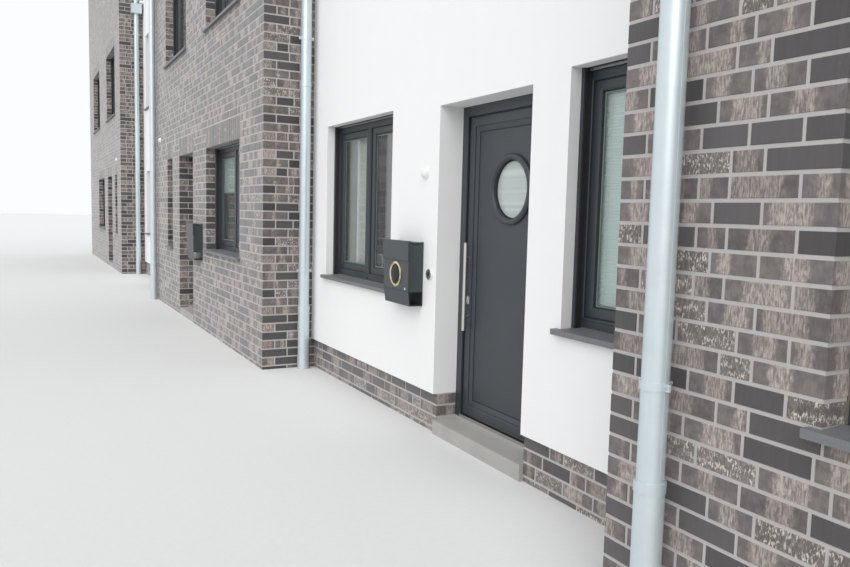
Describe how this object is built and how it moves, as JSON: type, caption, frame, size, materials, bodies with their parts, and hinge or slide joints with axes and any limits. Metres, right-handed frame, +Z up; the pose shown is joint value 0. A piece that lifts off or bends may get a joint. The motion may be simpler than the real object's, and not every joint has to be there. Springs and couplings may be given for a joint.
{
  "type": "terraced house row",
  "caption": "Row of modern terraced houses in dark brick and white render with flat roofs, an opening front door and a letter box.",
  "frame": {"origin": "middle of the row's footprint, at ground level on the underside of the ground slabs", "axes": "+X along the row to the right as seen from the street, -Y towards the street, +Z up"},
  "size_m": [30.8, 10.72, 8.97],
  "materials": {
    "concrete": "fair-faced concrete",
    "roof_gravel": "loose gravel on roofing felt",
    "brickwork": "dark clinker brick with pale grey joints",
    "white_render": "fine scraped render, painted",
    "coping_metal": "coated sheet metal",
    "anthracite_frames": "satin anthracite coating",
    "window_glass": "clear double glazing",
    "sill_stone": "honed dark stone",
    "stainless": "brushed stainless steel",
    "zinc_pipe": "weathered zinc",
    "white_fittings": "white plastic",
    "letter_box_steel": "satin powder coating"
  },
  "bodies": {
    "row": {"ground_slabs": "concrete", "upper_floors": "concrete", "flat_roofs": "roof_gravel", "party_walls": "brickwork", "brick_front_ground": "brickwork", "brick_front_first": "brickwork", "brick_front_second": "brickwork", "brick_rear_ground": "brickwork", "brick_rear_first": "brickwork", "brick_rear_second": "brickwork", "white_front_ground": "white_render", "entrance_wall_left": "white_render", "entrance_wall_right": "white_render", "white_front_upper": "white_render", "white_rear_ground": "white_render", "white_rear_upper": "white_render", "white_plinths": "brickwork", "brick_copings": "coping_metal", "white_copings": "coping_metal", "front_frames_ground": "anthracite_frames", "front_frames_upper": "anthracite_frames", "rear_frames": "anthracite_frames", "front_panes": "window_glass", "rear_panes": "window_glass", "front_sills": "sill_stone", "rear_sills": "sill_stone", "door_steps": "concrete", "thresholds": "stainless", "closed_door_frames": "anthracite_frames", "closed_doors": "anthracite_frames", "entrance_door_frame": "anthracite_frames", "entrance_hinge_posts": "stainless", "front_downpipes": "zinc_pipe", "side_downpipes": "zinc_pipe", "roof_spouts": "white_fittings", "letter_box": "letter_box_steel", "letter_box_ring": "stainless", "neighbour_letter_box": "letter_box_steel", "wall_fittings": "white_fittings"},
    "entrance_door": {"entrance_door_leaf": "anthracite_frames", "entrance_door_ring": "anthracite_frames", "entrance_door_pane": "window_glass", "entrance_door_handles": "stainless", "entrance_hinge_wings": "stainless"},
    "letter_box_lid": {"letter_box_flap": "letter_box_steel"}
  },
  "joints": [
    {"name": "entrance_door_swing", "type": "hinge", "parent": "row", "child": "entrance_door", "pos_m": [7.534, -4.465, 1.12], "axis": [0, 0, -1], "range_deg": [0, 90]},
    {"name": "letter_box_lid_lift", "type": "hinge", "parent": "row", "child": "letter_box_lid", "pos_m": [6.134, -4.761, 1.337], "axis": [-1, 0, 0], "range_deg": [0, 80]}
  ]
}
